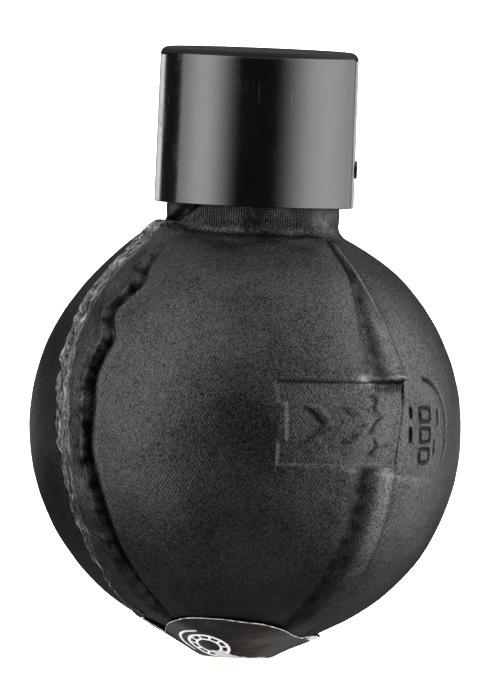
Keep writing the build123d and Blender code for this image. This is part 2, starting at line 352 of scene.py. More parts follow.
def set_painted_light_and_shade(piece, painted_light_and_shade):
    """Stores the painted shade in the creases, up to 1 in the deepest, and the painted highlights, down to
    -1.
    """
    both = np.concatenate([painted_light_and_shade.ravel(), np.zeros(len(piece.data.vertices) - painted_light_and_shade.size)])
    layer = piece.data.attributes.new("painted_light_and_shade", "FLOAT", "POINT")
    layer.data.foreach_set("value", np.clip(both, -1, 1).astype(np.float32))


def mesh_piece(name, points, faces, uv=None):
    mesh = bpy.data.meshes.new(name)
    mesh.vertices.add(len(points))
    mesh.vertices.foreach_set("co", np.ascontiguousarray(points, np.float32).ravel())
    mesh.loops.add(faces.size)
    mesh.loops.foreach_set("vertex_index", np.ascontiguousarray(faces, np.int32).ravel())
    mesh.polygons.add(len(faces))
    mesh.polygons.foreach_set("loop_start", np.arange(len(faces), dtype=np.int32) * faces.shape[1])
    mesh.update(calc_edges=True)
    mesh.validate()
    mesh.polygons.foreach_set("use_smooth", np.ones(len(faces), bool))
    if uv is not None:
        flat = np.concatenate([uv.reshape(-1, 2)] * (len(points) * 2 // uv.size))
        layer = mesh.uv_layers.new(name="cloth")
        layer.data.foreach_set("uv", flat[faces.ravel()].astype(np.float32).ravel())
    piece = bpy.data.objects.new(name, mesh)
    bpy.context.scene.collection.objects.link(piece)
    return piece


# The cover: where its seams run, and what stands out of it or sinks in

SLEEVE_FOOT_R = 14.3 * MM  # the panels reach up to here
TOP_POLAR = math.degrees(math.asin(SLEEVE_FOOT_R / BALL_R))
BOTTOM_POLAR = 170.0
CONE = 28.9  # degrees from the bottom, where the ball's underside turns into a cone


def right_seam(polar):
    """Bearing of the ridge between the front and right panels."""
    cot = 1 / np.tan(np.radians(polar))
    ripple = 0.25 * sine(polar * 7)
    return 44.2 + 1.9 * np.minimum(cot ** 2, 6) + 4.0 * hump(polar, 73, 28) + ripple


def closing_groove(polar):
    """Bearing of the wavy groove beside the closing lap."""
    wave = 2.9 * hump(polar, 48, 8) - 3.0 * hump(polar, 58, 9) + 1.7 * hump(polar, 65.6, 7)
    wave -= 1.0 * hump(polar, 77, 9)
    wave += 0.5 * sine((polar - 100) * 11) * hump(polar, 112, 34)
    low = 0.13 * np.clip(polar - 95, 0, 60)
    return -45.4 - 3.6 * hump(polar, 25, 28) + low + wave


def lap_edge(polar):
    """Bearing of the raw edge of the closing lap."""
    fray = 0.35 * sine(polar * 31) + 0.25 * sine(polar * 67 + 40)
    bow = 5.6 * smooth(polar, 96, 54) + 5.5 * smooth(polar, 34, 24) + 5.0 * smooth(polar, 126, 152)
    return -53.8 - bow + fray * smooth(polar, 28, 36)


def fray_width(polar):
    """How far the frayed strip reaches beyond the lap's edge, in degrees."""
    return 2.4 + 3.4 * smooth(polar, 108, 84) + 3.2 * smooth(polar, 66, 48) + 7.0 * smooth(polar, 42, 27)


def back_seam(polar):
    return 135 + 0.5 * sine(polar * 5)


def left_seam(polar):
    return -135 + 0.5 * sine(polar * 6 + 50)


def ball_profile(polar):
    """Distance of the plain ball's surface from its centre."""
    from_bottom = 180 - np.asarray(polar, float)
    return np.where(from_bottom < CONE, BALL_R / cosine(CONE - from_bottom), BALL_R)


def lopsided(bearing, polar):
    """How far the stuffed cover stands out of the plain ball, in millimetres."""
    turn = wrapped(bearing)
    swell = 1.15 * hump(turn, -80, 50) * hump(polar, 26, 20)
    swell -= 0.4 * hump(turn, 88, 70) * hump(polar, 30, 18)
    swell -= 0.2 * hump(turn, -92, 70) * hump(polar, 128, 46)
    return swell + 0.35 * hump(turn, 88, 70) * hump(polar, 130, 44)


# Generic pressed-in badge: a plate with two arrowheads, and a rounded tab with bars

PLATE_BEARING, PLATE_RISE = 29, 2.4  # its middle; the rise in millimetres above the ball's middle
TAB_BEARING, TAB_RISE = 57, 1.0


def badge_plane(bearing, polar, middle, rise):
    """Millimetres to the right of and above the middle of a mark, seen straight on."""
    away = np.radians(bearing - middle)
    radius = BALL_R / MM
    x = np.where(np.abs(away) < 1.4, radius * np.sin(away) * sine(polar), 99)
    return x, radius * cosine(polar) - rise


def box_depth(x, y, half_x, half_y, soft):
    """1 inside a box, 0 outside, with a soft edge."""
    return (smooth(half_x - np.abs(x), -soft / 2, soft / 2)
            * smooth(half_y - np.abs(y), -soft / 2, soft / 2))


def arrowhead(x, y, size, bar):
    """1 on an arrowhead that points right and starts at x = 0."""
    along = x + np.abs(y) - size / 2
    body = smooth(along, -0.25, 0.25) - smooth(along, bar - 0.25, bar + 0.25)
    return body * smooth(size / 2 - np.abs(y), 0, 0.4)


def badge_relief(bearing, polar):
    """The badge's recess, the plate's own outline, both from 0 to 1, and the shade in it."""
    x, y = badge_plane(bearing, polar, PLATE_BEARING, PLATE_RISE)
    blurred = waves(np.stack([x, y], -1), 3.0, 51)
    plate = box_depth(x, y, 11.5, 6.45, 0.4)
    notch = box_depth(x + 11.4, y - 0.1, 1.15, 3.0, 0.35)
    heads = arrowhead(x + 7.6, y, 6.0, 2.2) * (0.85 + 0.3 * blurred)
    heads += arrowhead(x + 1.4, y, 6.0, 1.8) * (0.45 + 0.4 * blurred)
    heads = np.clip(heads, 0, 1)
    recess = plate * (1 - notch) * (1 - 0.85 * heads)
    bars = sum(box_depth(x - 4.9 - 0.9 * blurred, y - step, 0.5, 1.3, 0.9) for step in (-3.6, 0.0, 3.2))
    shade = 4 * plate * (1 - plate) * smooth(y, 0, 5) + 1.1 * bars * plate
    outer_rim = box_depth(x, y, 13.0, 7.9, 0.5)
    shade += 1.4 * outer_rim * (1 - outer_rim) * smooth(x, 4, -4) * smooth(y, -9, 3)
    shade += 0.75 * heads * smooth(blurred, -0.6, 0.5) * plate
    return recess, plate, shade


def badge_top(polar):
    """Where the seam band ends above the badge: a puckered bump, and the shade under it."""
    down = (polar - 75.0) * 0.585
    return hump(down, -0.75, 1.3), hump(down, 0.7, 1.2)


def cell_outline(x, y, half_x, half_y):
    """1 along the outline of an upright rounded cell."""
    return hump(((np.abs(x) / half_x) ** 5 + (np.abs(y) / half_y) ** 5) ** (1 / 5), 1.0, 0.42)


def tab_relief(bearing, polar):
    """The rounded tab beside the plate: its outline, and plain cells with bars beside them."""
    x, y = badge_plane(bearing, polar, TAB_BEARING, TAB_RISE)
    bow = (np.maximum(x, 0) / 6.1) ** 2 + np.abs(y / 8.4) ** 2.4
    outline = hump(bow, 1.0, 0.17) * smooth(x, -0.2, 0.8) * smooth(y, -4.5, -2)
    cells = sum(cell_outline(x + 0.3, y - step, 1.35, 1.05) for step in (-3.5, -0.3, 2.9))
    bars = sum(box_depth(x - across, y - up, 0.3, half, 0.4) for across, up, half in
               ((-4.2, -0.2, 1.2), (-4.0, 3.2, 0.9), (2.5, -2.2, 1.2), (3.4, 2.4, 1.3)))
    return outline, np.clip(cells, 0, 1) + bars


def narrowing(polar):
    """The seam bands narrow towards the neck."""
    return 0.15 + 0.85 * smooth(polar, 34, 76)


def seam_band(from_seam, polar):
    """The turned seam allowance under a panel's edge: a valley, a slope up and a rounded top."""
    across = from_seam / narrowing(polar)
    band = 0.5 * smooth(across, 6.0, 2.8) + 0.12 * hump(across, 1.2, 1.9) - 0.3 * hump(across, 6.4, 2.2)
    return band * window(polar, 25, 31, 144, 162)


def lap_relief(polar, from_groove, from_edge, point):
    """The closing lap: raised, between a sharp groove and its own raw edge."""
    on_lap = smooth(from_groove, -0.15, -1.5) * (0.3 + 0.7 * smooth(polar, 24, 31))
    strength = window(polar, 30, 50, 136, 160)
    uneven = waves(point, 9 * MM, 9)
    lap = (0.62 + 0.1 * waves(point, 6 * MM, 4)) * on_lap * smooth(polar, 156, 138)
    sharp_side = hump(from_groove, 0, 0.75 + 0.1 * uneven) * (from_groove >= 0)
    soft_side = hump(from_groove, 0, 1.35 + 0.35 * uneven) * (from_groove < 0)
    lap -= (0.85 + 0.12 * uneven) * strength * (sharp_side + soft_side)
    lap += 0.12 * hump(from_groove, 1.3, 1.0) * strength
    puckers = sine(polar * 118 + 60 * waves(point, 5 * MM, 31))
    lap += 0.07 * puckers * hump(from_groove, -1.9, 1.7) * strength
    edge = 0.16 * hump(from_edge, 0.4, 0.6) * (1 + 0.5 * waves(point, 5 * MM, 33))
    return lap + edge * smooth(polar, 154, 138)


def front_distances(bearing, polar):
    """Millimetres round the ball from the ridge, the groove and the raw edge."""
    width = degree_width(polar)
    return ((right_seam(polar) - bearing) * width, (bearing - closing_groove(polar)) * width,
            (bearing - lap_edge(polar)) * width)


def front_relief(bearing, polar):
    """How far the front panel stands out from the plain ball, in millimetres."""
    from_ridge, from_groove, from_edge = front_distances(bearing, polar)
    point = on_ball(bearing, polar)
    recess, plate, _ = badge_relief(bearing, polar)
    band = seam_band(from_ridge, polar) * (1 - 0.85 * plate)
    bump_top, bump_shade = badge_top(polar)
    lip = (0.8 * bump_top - 0.05 * bump_shade) * smooth(from_ridge, 8.0, 5.6)
    lip *= 1 + 0.4 * waves(point, 1.6 * MM, 57)
    lap = lap_relief(polar, from_groove, from_edge, point)
    sink = 0.36 * np.maximum(smooth(from_ridge, 0, 2.0), 0.7 * smooth(polar, 83, 78))
    swell = 0.05 * waves(point, 16 * MM, 1) + 0.022 * waves(point, 4 * MM, 2)
    gathers = 0.1 * sine(bearing * 14) * smooth(polar, 146, 158)
    gathers += 0.16 * sine(bearing * 9 + 20) * hump(polar, 29, 5)
    return band + lip + lap + (swell + gathers) * smooth(polar, TOP_POLAR, 28) - sink * recess


def side_relief(bearing, polar, near_seam, far_seam, valley=-0.2):
    """A valley at the near seam, a turned band at the far one and a little unevenness."""
    width, point = degree_width(polar), on_ball(bearing, polar)
    swell = 0.05 * waves(point, 15 * MM, 5) + 0.022 * waves(point, 4 * MM, 6)
    gathers = 0.1 * sine(bearing * 13) * smooth(polar, 146, 158)
    return (valley * hump((bearing - near_seam) * width, 0.0, 1.4)
            + seam_band((far_seam - bearing) * width, polar)
            + (swell + gathers) * smooth(polar, TOP_POLAR, 28))


def right_relief(bearing, polar):
    outline, marks = tab_relief(bearing, polar)
    badge = -0.42 * (outline + marks)
    return badge + side_relief(bearing, polar, right_seam(polar), back_seam(polar), -0.22)


def back_relief(bearing, polar):
    return side_relief(bearing, polar, back_seam(polar), left_seam(polar) + 360)


def left_relief(bearing, polar):
    out_of_reach = 720.0  # this panel has no band at its far end, under the closing lap
    return side_relief(bearing, polar, left_seam(polar), out_of_reach)


# Painted shade in the cover's creases and recesses, and painted highlights where light catches it

def label_shade(polar):
    return 0.7 * smooth(polar, 158, 166)


def wrinkle_highlight(bearing, polar):
    """A painted highlight where a faint wrinkle would be: it leaves the plate's lower edge and crosses the
    seam.
    """
    line = 98.2 + 2.6 * smooth(bearing, 30, 58) + 0.3 * sine(bearing * 24)
    return hump(polar, line, 1.1) * window(bearing, 22, 30, 54, 64)


# Painted shade: darker in the groove, the valleys and the seam, under the badge's bump in teeth like
# stitches, at the lap's raw edge and above the label
def front_painted_shade(bearing, polar, rough):
    from_ridge, from_groove, from_edge = front_distances(bearing, polar)
    _, plate, shade = badge_relief(bearing, polar)
    bump_top, bump_shade = badge_top(polar)
    groove = hump(from_groove + 0.2, 0, 1.0 + 0.3 * rough)
    groove += (0.45 + 0.3 * rough) * hump(from_groove, -1.5, 1.7)
    groove *= window(polar, 30, 41, 140, 164) * (0.85 + 0.2 * rough)
    valley = hump(from_ridge / narrowing(polar), 5.7, 3.0) * (0.5 + 0.3 * rough)
    valley += 0.55 * hump(from_ridge, 1.1, 0.9) * smooth(polar, 62, 46)
    valley *= (1 - plate) * window(polar, 27, 33, 150, 166)
    seam = 0.7 * hump(from_ridge, 0, 0.35) * smooth(polar, 84, 76)
    stitches = 0.45 + 0.55 * np.sin(from_ridge * 2 * math.pi / 0.62)
    under_bump = 1.4 * bump_shade * smooth(from_ridge, 7.0, 5.0) * (0.25 + 0.75 * stitches)
    lap_edge_shade = 0.8 * hump(from_edge, -0.1, 0.5) * smooth(polar, 84, 104)
    shade = shade * (1 - 0.9 * bump_top * smooth(from_ridge, 9.5, 8.0))
    return (np.clip(groove, 0, 0.97) + np.clip(valley, 0, 0.8) + seam + shade * 0.8
            + under_bump * smooth(rough, -1.2, 0.2) + label_shade(polar) + lap_edge_shade)


# Painted highlights: paler on the bump above the badge, along the ridge, on the lap's raw edge and the
# wrinkle, towards the right, on the plate and the lap, and round the neck's foot
def front_painted_highlights(bearing, polar, rough):
    from_ridge, _, from_edge = front_distances(bearing, polar)
    _, plate, _ = badge_relief(bearing, polar)
    bump_top, _ = badge_top(polar)
    bump_highlight = 1.2 * hump(from_ridge, 7.2, 3.0) + 0.45 * smooth(from_ridge, 8.0, 6.4)
    pale = bump_top * bump_highlight * (0.7 + 0.4 * rough)
    pale += 0.6 * hump(from_ridge, 0.35, 0.7) * window(polar, 27, 32, 52, 66)
    pale += 0.15 * hump(from_ridge, 2.2, 3.4) * smooth(polar, 50, 64) * (1 - plate) * (1 + 0.6 * rough)
    pale += 0.09 * smooth(bearing, 24, 42) + 0.05 * plate + 0.1 * smooth(bearing, -40, -48)
    pale += 0.25 * smooth(polar, 29.5, 26.5) * (1 - hump(bearing, 9, 16))
    pale += 0.35 * hump(from_ridge, 1.4, 2.2) * window(polar, 96, 100, 118, 138)
    pale += 0.4 * hump(from_edge, 0.35, 0.6) * (0.8 + 0.4 * rough) * smooth(polar, 150, 130)
    return pale + 0.3 * wrinkle_highlight(bearing, polar)


# The front panel's painted shade, less its painted highlights where there is no shade
def front_painted_light_and_shade(bearing, polar):
    rough = waves(on_ball(bearing, polar), 2.2 * MM, 71)
    dark = front_painted_shade(bearing, polar, rough)
    return dark - front_painted_highlights(bearing, polar, rough) * (1 - np.clip(dark, 0, 1))


# Painted shade in the seam's crease and the tab's pressed-in lines, and painted highlights towards the
# right and along the wrinkle
def right_painted_light_and_shade(bearing, polar):
    from_ridge = (bearing - right_seam(polar)) * degree_width(polar)
    outline, marks = tab_relief(bearing, polar)
    seam = 0.6 * hump(from_ridge, 0, 0.4) * smooth(polar, 84, 76)
    seam += 0.3 * hump(from_ridge, 0.9, 1.6) * smooth(polar, 70, 40)
    dark = seam + 0.95 * outline + 0.85 * marks + label_shade(polar)
    pale = (0.2 * smooth(bearing, 98, 70) + 0.14 * hump(bearing, 63, 22)) * window(polar, 40, 66, 140, 160)
    return dark - (pale + 0.3 * wrinkle_highlight(bearing, polar)) * (1 - np.clip(dark, 0, 1))


# Only the painted shade above the label
def back_painted_shade(bearing, polar):
    return label_shade(polar)


# Painted shadow along the outer edge of the frayed strip, and the painted shade above the label
def left_painted_shade(bearing, polar):
    outside = (bearing - lap_edge(polar) + fray_width(polar)) * degree_width(polar)
    return 0.8 * hump(outside, 0.2, 1.0) + label_shade(polar)


# The cover's panels

def spread(count, weight):
    """That many shares from 0 to 1, closer together where the weight is larger."""
    fine = np.linspace(0, 1, 2001)
    total = np.concatenate([[0], np.cumsum(weight(fine[:-1] + 0.5 / 2000))])
    return np.interp(np.linspace(0, total[-1], count), total, fine)


def near_seams(t):
    return 1 + 1.6 * smooth(np.abs(t - 0.5), 0.3, 0.42)


def near_badge_and_lap(t):
    return 1 + 2.2 * smooth(t, 0.26, 0.2) + 1.6 * smooth(t, 0.57, 0.63)


def near_badge(t):
    return near_seams(t) + 1.4 * smooth(t, 0.36, 0.28)


def badge_rows(t):
    return 1 + 1.5 * smooth(np.abs(t - 0.43), 0.15, 0.1)


def top_polar(bearing):
    """The panels' upper edge: it climbs the neck at the left shoulder."""
    turn = wrapped(bearing)
    panel_r = BALL_R + (lopsided(bearing, 23) + 0.3) * MM
    inside_neck = np.degrees(np.arcsin((NECK_R - 0.3 * MM) / panel_r))
    return TOP_POLAR + (inside_neck - TOP_POLAR) * smooth(np.abs(turn + 82), 52, 26)


def make_gore(name, start, end, relief, painted_light_and_shade, columns, rows, across=near_seams,
              down=badge_rows, lap=False):
    """One cloth panel between two seams, as a closed sheet with real thickness."""
    share = spread(columns, across)[None, :]
    first, last = (float(side(np.array(TOP_POLAR))) for side in (start, end))
    top = top_polar(first + (last - first) * share)
    down_share = spread(rows, down)[:, None]
    down_share[1], down_share[-2] = 0.0004, 0.9996  # keep the rims crisp
    polar = top + (BOTTOM_POLAR - top) * down_share
    near, far = start(polar), end(polar)
    bearing = near + (far - near) * share
    radius = ball_profile(polar) + (relief(bearing, polar) + lopsided(bearing, polar)) * MM
    width = degree_width(polar) * MM
    edge = np.minimum(bearing - near, far - bearing) * width / (0.35 * MM)
    radius -= 0.3 * MM * (1 - np.sqrt(np.clip(1 - (1 - np.clip(edge, 0, 1)) ** 2, 0, 1)))
    under = np.maximum(radius - CLOTH, SHELL_R)
    if lap:
        lies_on_left = smooth((bearing - closing_groove(polar)) * width, -1.2 * MM, -2.4 * MM)
        left_top = BALL_R + (0.06 + lopsided(bearing, polar)) * MM
        under = np.maximum(under, left_top * lies_on_left)
        under = np.minimum(under, radius - 0.15 * MM)
    uv = np.stack([(bearing - (near + far) / 2) * width, np.radians(polar) * BALL_R], -1)
    outer, inner = on_ball(bearing, polar, radius), on_ball(bearing, polar, under)
    piece = grid_solid(name, outer, inner, uv)
    set_painted_light_and_shade(piece, painted_light_and_shade(bearing, polar))
    return piece


def left_end(polar):
    """The left panel ends under the closing lap."""
    return closing_groove(polar) - 3.2


cover = {
    "cover_gore_front": make_gore("cloth_front", lap_edge, right_seam, front_relief, front_painted_light_and_shade,
                                  224, 212, across=near_badge_and_lap, lap=True),
    "cover_gore_right": make_gore("cloth_right", right_seam, back_seam, right_relief, right_painted_light_and_shade,
                                  200, 200, across=near_badge),
    "cover_gore_back": make_gore("cloth_back", back_seam, lambda p: left_seam(p) + 360,
                                 back_relief, back_painted_shade, 140, 150, down=near_seams),
    "cover_gore_left": make_gore("cloth_left", left_seam, left_end, left_relief, left_painted_shade, 160, 150,
                                 down=near_seams),
}


# Cloth materials

def cloth_material(name, ribs=False):
    """Matt black cloth: a fine twill or upright ribs, with lint and dusty patches, and the painted shade
    and highlights of each piece.
    """
    n = Surface(name)
    flat = n.flat()
    if ribs:
        lines = n.bands(flat, 0.40, 0.6, 1.0, "X", 3.0)
        cross = n.bands(flat, 0.34, 1.5, 1.0, "Y")
        strength = n.ramp(n.part(flat, 1), 67.2 * MM, 69.5 * MM)
    else:
        aslant = n.stretched(flat, 1, 1, 1, math.radians(-33))
        lines = n.bands(aslant, 0.46, 2.2, 2.0, "X", 2.0)
        cross = n.bands(aslant, 0.38, 3.0, 2.0, "Y")
        zones = n.ramp(n.noise(n.point, 120, 2), 0.38, 0.62)
        strength = n.plus(n.times(zones, 0.8), 0.2)
    weave = n.times(n.plus(n.times(lines, 0.6), n.times(cross, 0.4)), strength)
    wobble = n.noise(n.point, 260, 2)
    grain, clumps = (n.noise(n.point, scale, 2, 0.6) for scale in (3300, 1500))
    # the sheen of the fibres is a dim, broad mirror, so that their grain tints what they reflect
    weave_share, darkest, palest = (0.3, 0.52, 1.07) if ribs else (0.17, 0.49, 0.98)
    yarn = n.plus(n.times(weave, weave_share), grain, n.times(clumps, 0.35))
    worn = n.ramp(n.noise(n.point, 95, 4, 0.6), 0.35, 0.72)
    level = n.plus(n.ramp(yarn, darkest, palest, smooth=False), n.times(worn, 0.12), clamp=True)
    colour = n.mix(level, grey(0.0015), grey(0.034, 0.01))
    # The piece's attribute paints shade in the creases where it is above 0, and highlights where it is
    # below 0
    painted_light_and_shade = n.add("ShaderNodeAttribute", attribute_name="painted_light_and_shade").outputs["Fac"]
    painted_light = n.times(n.times(painted_light_and_shade, -1.0, clamp=True), n.ramp(yarn, 0.5, 0.95, 0.25, 1.0))
    colour = n.mix(painted_light, colour, grey(0.13, 0.01))
    colour = n.mix(n.times(painted_light_and_shade, 0.96, clamp=True), colour, grey(0.0008))
    lint = n.most(n.times(n.specks(620, 0.16, 0.075), 0.6), n.specks(260, 0.08, 0.12))
    colour = n.mix(lint, colour, grey(0.16, 0.02))
    n.set("Metallic", n.ramp(lint, 0, 0.5, 0.9, 0, smooth=False))
    n.set("Specular Tint", grey(0.55))
    return n.finished(colour, n.ramp(grain, 0.3, 0.7, 0.34, 0.44), (wobble, 0.08),
                      (clumps, 0.06), (weave, 0.03), (grain, 0.08), specular=0.3)


cover_cloth = cloth_material("black_twill")
for node, piece in cover.items():
    piece.data.materials.append(cover_cloth)
    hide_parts(node)
    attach(piece, "ball")


# Neck sleeve, with upright ribs

def make_sleeve():
    columns, rows = 840, 46
    t = np.linspace(0, 1, rows)[:, None]
    t[-2] = 0.997  # keeps the rim crisp
    bearing = np.linspace(0, 360, columns, endpoint=False)[None, :] + 0 * t
    foot_polar = TOP_POLAR + 0.9
    lift = lopsided(bearing, foot_polar) * MM
    ball = BALL_R + lift
    turn = wrapped(bearing)
    fillet = (1.7 + 0.9 * hump(turn, 90, 100) - 1.4 * hump(turn, -82, 60)) * MM
    # down the neck, round the fillet, and out over the ball
    top, straight, turned = SLEEVE_TOP, 0.7, 0.93
    arc_r = NECK_R + fillet
    arc_z = BALL_Z + np.sqrt((ball + fillet) ** 2 - arc_r ** 2)
    leave = np.arcsin(arc_r / (ball + fillet))
    bend = np.clip((t - straight) / (turned - straight), 0, 1) * (math.pi / 2 - leave)
    over = np.clip((t - turned) / (1 - turned), 0, 1)
    polar = leave + (math.radians(foot_polar) - leave) * over
    radius = np.where(t < turned, arc_r - fillet * np.cos(bend), ball * np.sin(polar))
    height = np.where(t < turned, arc_z - fillet * np.sin(bend), BALL_Z + ball * np.cos(polar))
    height = np.where(t < straight, top + (arc_z - top) * t / straight, height)
    height -= 0.05 * MM * smooth(t, 0.96, 1)
    b = np.radians(bearing)

    def at(r, z):
        return np.stack([r * np.sin(b), -r * np.cos(b), z], -1)

    point = at(NECK_R, height)
    ribs = 0.06 * cosine(bearing * columns / 4) * smooth(t, 0.86, 0.72)
    ribs *= 1 + 0.5 * waves(point, 7 * MM, 15)
    gully = -43 - 36 * smooth(t, 0.52, 0.82)  # a deep fold that runs down to the left
    folds = 0.3 * hump(turn, gully - 14, 12) + 0.2 * hump(turn, gully + 12, 11)
    folds -= 0.7 * hump(turn, gully, 12)
    folds -= 0.25 * hump(turn, 38, 9) * smooth(t, 0.6, 0.8)
    uneven = 0.09 * waves(point, 6 * MM, 12) + 0.04 * waves(point, 2 * MM, 13)
    # stays true to size where the collar holds it
    shift = (ribs + folds + uneven) * window(t, 0.42, 0.56, 0.95, 1.02) * MM
    shell = radius + shift
    inside = np.minimum(shell - 0.5 * MM, radius - 0.45 * MM)
    inner = at(inside, height - 0.1 * MM * smooth(t, straight, 1))
    uv = np.stack([b * NECK_R, height], -1)
    piece = grid_solid("cloth_neck", at(shell, height), inner, uv, ring=True)
    # Painted shade in the deep fold, along the foot at the front and up the neck towards the cap, a dark
    # streak at the right front, and painted highlights round the fillet and on the neck's right side
    shade = 0.98 * hump(turn, gully, 14) + 0.5 * hump(turn, gully + 24, 9) * smooth(t, 0.7, 0.85)
    shade += 0.55 * hump(turn, 10, 16) * hump(t, 0.95, 0.12)
    shade += 0.5 * hump(turn, 42, 10) * smooth(t, 0.7, 0.9) + 0.45 * smooth(t, 0.62, 0.5)
    painted_light = 0.3 * hump(t, 0.9, 0.24) * (1 - hump(turn, 9, 18))
    painted_light += 0.25 * hump(turn, 54, 18) * smooth(t, 0.6, 0.7)
    shade -= painted_light * window(turn, -62, -40, 70, 110) * (0.8 + 0.4 * waves(point, 2.5 * MM, 18))
    set_painted_light_and_shade(piece, shade * (0.85 + 0.3 * waves(point, 3 * MM, 16)))
    piece.data.materials.append(cloth_material("black_rib_knit", ribs=True))
    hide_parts("neck_sleeve")
    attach(piece, "ball")


make_sleeve()


# The frayed, glued edge of the closing lap

def fray_height(across, point, along):
    """Height of the strip over the ball, in millimetres; across is 0 outside and 1 at the lap."""
    streaks = waves(np.stack([across * 2.4 * MM, along * 0.16], -1), 0.9 * MM, 41)
    clumps = waves(np.stack([across * 2.4 * MM, along * 0.5], -1), 2.2 * MM, 42)
    lumps = (0.13 * streaks + 0.16 * clumps) * window(across, 0, 0.15, 0.86, 1)
    return 0.12 + 0.55 * smooth(across, 0, 0.35) + lumps + 0.06 * waves(point, 3 * MM, 43)


def make_fray():
    rows, columns = 520, 30
    polar = np.linspace(22.3, 150, rows)[:, None] + np.zeros((1, columns))
    across = np.linspace(0, 1, columns)[None, :] + np.zeros((rows, 1))
    meridian = on_ball(0 * polar, polar)
    ragged = 0.45 * waves(meridian, 3 * MM, 44) + 0.3 * waves(meridian, 1.2 * MM, 45)
    reach = fray_width(polar) * (1 + 0.5 * ragged)
    bearing = lap_edge(polar) + 0.5 - (reach + 0.5) * (1 - across)
    point = on_ball(bearing, polar)
    along = np.radians(polar) * BALL_R
    rise = fray_height(across, point, along) * (0.2 + 0.8 * smooth(polar, 22, 26))
    ground = lopsided(bearing, polar)
    outer = on_ball(bearing, polar, BALL_R + (rise + ground) * MM)
    inner = on_ball(bearing, polar, BALL_R + (ground - 0.08) * MM)
    width = degree_width(polar) * MM
    uv = np.stack([(bearing - lap_edge(polar)) * width, along], -1)
    piece = grid_solid("frayed_glue_line", outer, inner, uv)
    piece.data.materials.append(glue_material())
    return piece


def make_strands():
    """Loose fibres that lie along the frayed edge."""
    rng = np.random.default_rng(7)
    sides, steps, count = 5, 9, 240
    ring = np.linspace(0, 2 * math.pi, sides, endpoint=False)
    points, faces = [], []
    for index in range(count):
        start = 25 + 120 * rng.uniform() ** 1.3
        length = rng.uniform(1.2, 6.5) * (1.0 if start < 105 else 0.7)  # degrees down the ball
        place = rng.uniform(0.05, 1.0)
        drift = rng.normal(0, 0.22)
        bend = rng.normal(0, 0.12)
        thick = rng.uniform(0.035, 0.085) * MM
        t = np.linspace(0, 1, steps)
        polar = start + length * t
        across = np.clip(place + drift * (t - 0.5) + bend * np.sin(math.pi * t), -0.05, 1.02)
        bearing = lap_edge(polar) + 0.3 - fray_width(polar) * (1 - across)
        lift = 0.14 + 0.55 * smooth(across, 0, 0.35) + 0.16 * np.sin(math.pi * t) + rng.uniform(0, 0.08)
        middle = on_ball(bearing, polar, BALL_R + (lift + lopsided(bearing, polar)) * MM)
        ahead = np.gradient(middle, axis=0)
        ahead /= np.linalg.norm(ahead, axis=1)[:, None]
        up = middle - np.array([0, 0, BALL_Z])
        up /= np.linalg.norm(up, axis=1)[:, None]
        side = np.cross(ahead, up)
        taper = thick * (0.25 + 0.75 * np.sin(math.pi * np.clip(t, 0.04, 0.96)) ** 0.5)
        tube = (middle[:, None] + taper[:, None, None] * (np.cos(ring)[None, :, None] * side[:, None] * 1.5
                                                           + np.sin(ring)[None, :, None] * up[:, None]))
        base = index * (sides * steps + 2)
        points.append(np.concatenate([tube.reshape(-1, 3), middle[:1], middle[-1:]]))
        for i in range(steps - 1):
            for j in range(sides):
                a, b = i * sides + j, i * sides + (j + 1) % sides
                faces += [(base + a, base + b, base + b + sides),
                          (base + a, base + b + sides, base + a + sides)]
        for j in range(sides):
            k, last = (j + 1) % sides, (steps - 1) * sides
            faces += [(base + sides * steps, base + k, base + j),
                      (base + sides * steps + 1, base + last + j, base + last + k)]
    piece = mesh_piece("loose_fibres", np.concatenate(points), np.array(faces))
    piece.data.materials.append(fibre_material())
    return piece


def fibre_material():
    n = Surface("pale_fibres")
    shade = n.noise(n.point, 900, 2)
    colour = n.mix(n.ramp(shade, 0.38, 0.66), grey(0.008), grey(0.12))
    return n.finished(colour, n.ramp(shade, 0.3, 0.7, 0.5, 0.75))


def glue_material():
    """Dried glue and frayed yarn: pale streaks along the seam, with black gaps."""
    n = Surface("frayed_glue")
    streaks = n.noise(n.stretched(n.flat(), 1, 0.13, 1), 3000, 4, 0.65, 0.6)
    clumps = n.ramp(n.noise(n.point, 380, 4, 0.7), 0.3, 0.7)
    height = n.part(n.point, 2)
    pale = n.plus(n.times(streaks, 0.75), n.times(clumps, 0.4),
                  n.ramp(height, 34 * MM, 66 * MM, -0.02, 0.04), n.ramp(height, 12 * MM, 36 * MM, -0.12, 0))
    colour = n.mix(n.ramp(pale, 0.585, 0.70), grey(0.003), grey(0.12, 0.01))
    return n.finished(colour, n.ramp(clumps, 0.3, 0.7, 0.35, 0.6), (clumps, 0.15),
                      (streaks, 0.12))


for piece, slot in ((make_fray(), "glue"), (make_strands(), "fibre")):
    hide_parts("closing_seam_glue")
    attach(piece, "ball")


# The printed label under the ball

LABEL_LOBES = ((-12, 17.3, 42, 49), (-76, 15.6, 17, 15), (84, 13.0, 22, 20), (132, 14.4, 20, 20),
               (182, 15.6, 27, 27), (232, 14.6, 19, 19))  # bearing, reach (mm), width before and after it
LABEL_NOTCH = 11.5  # reach between the lobes


def label_reach(bearing):
    """Distance of the label's cut edge from the axis, in millimetres."""
    reach = np.full(bearing.shape, LABEL_NOTCH)
    for middle, far, before, after in LABEL_LOBES:
        away = wrapped(bearing - middle)
        width = np.where(away < 0, before, after)
        lobe = (far - LABEL_NOTCH) * np.exp(-((np.abs(away) / width) ** 3))
        reach = np.maximum(reach, LABEL_NOTCH + lobe)
    return reach


def cover_under(radius):
    """Height of the cover's underside at a distance from the axis, in millimetres."""
    ball, cone = BALL_R / MM, math.radians(CONE)
    touch = ball * math.sin(cone)
    sphere = ball * (1 - np.sqrt(np.clip(1 - (radius / ball) ** 2, 0, 1)))
    low = ball * (1 - math.cos(cone)) - (touch - radius) * math.tan(cone)
    return np.where(radius < touch, low, sphere) + BALL_Z / MM - ball


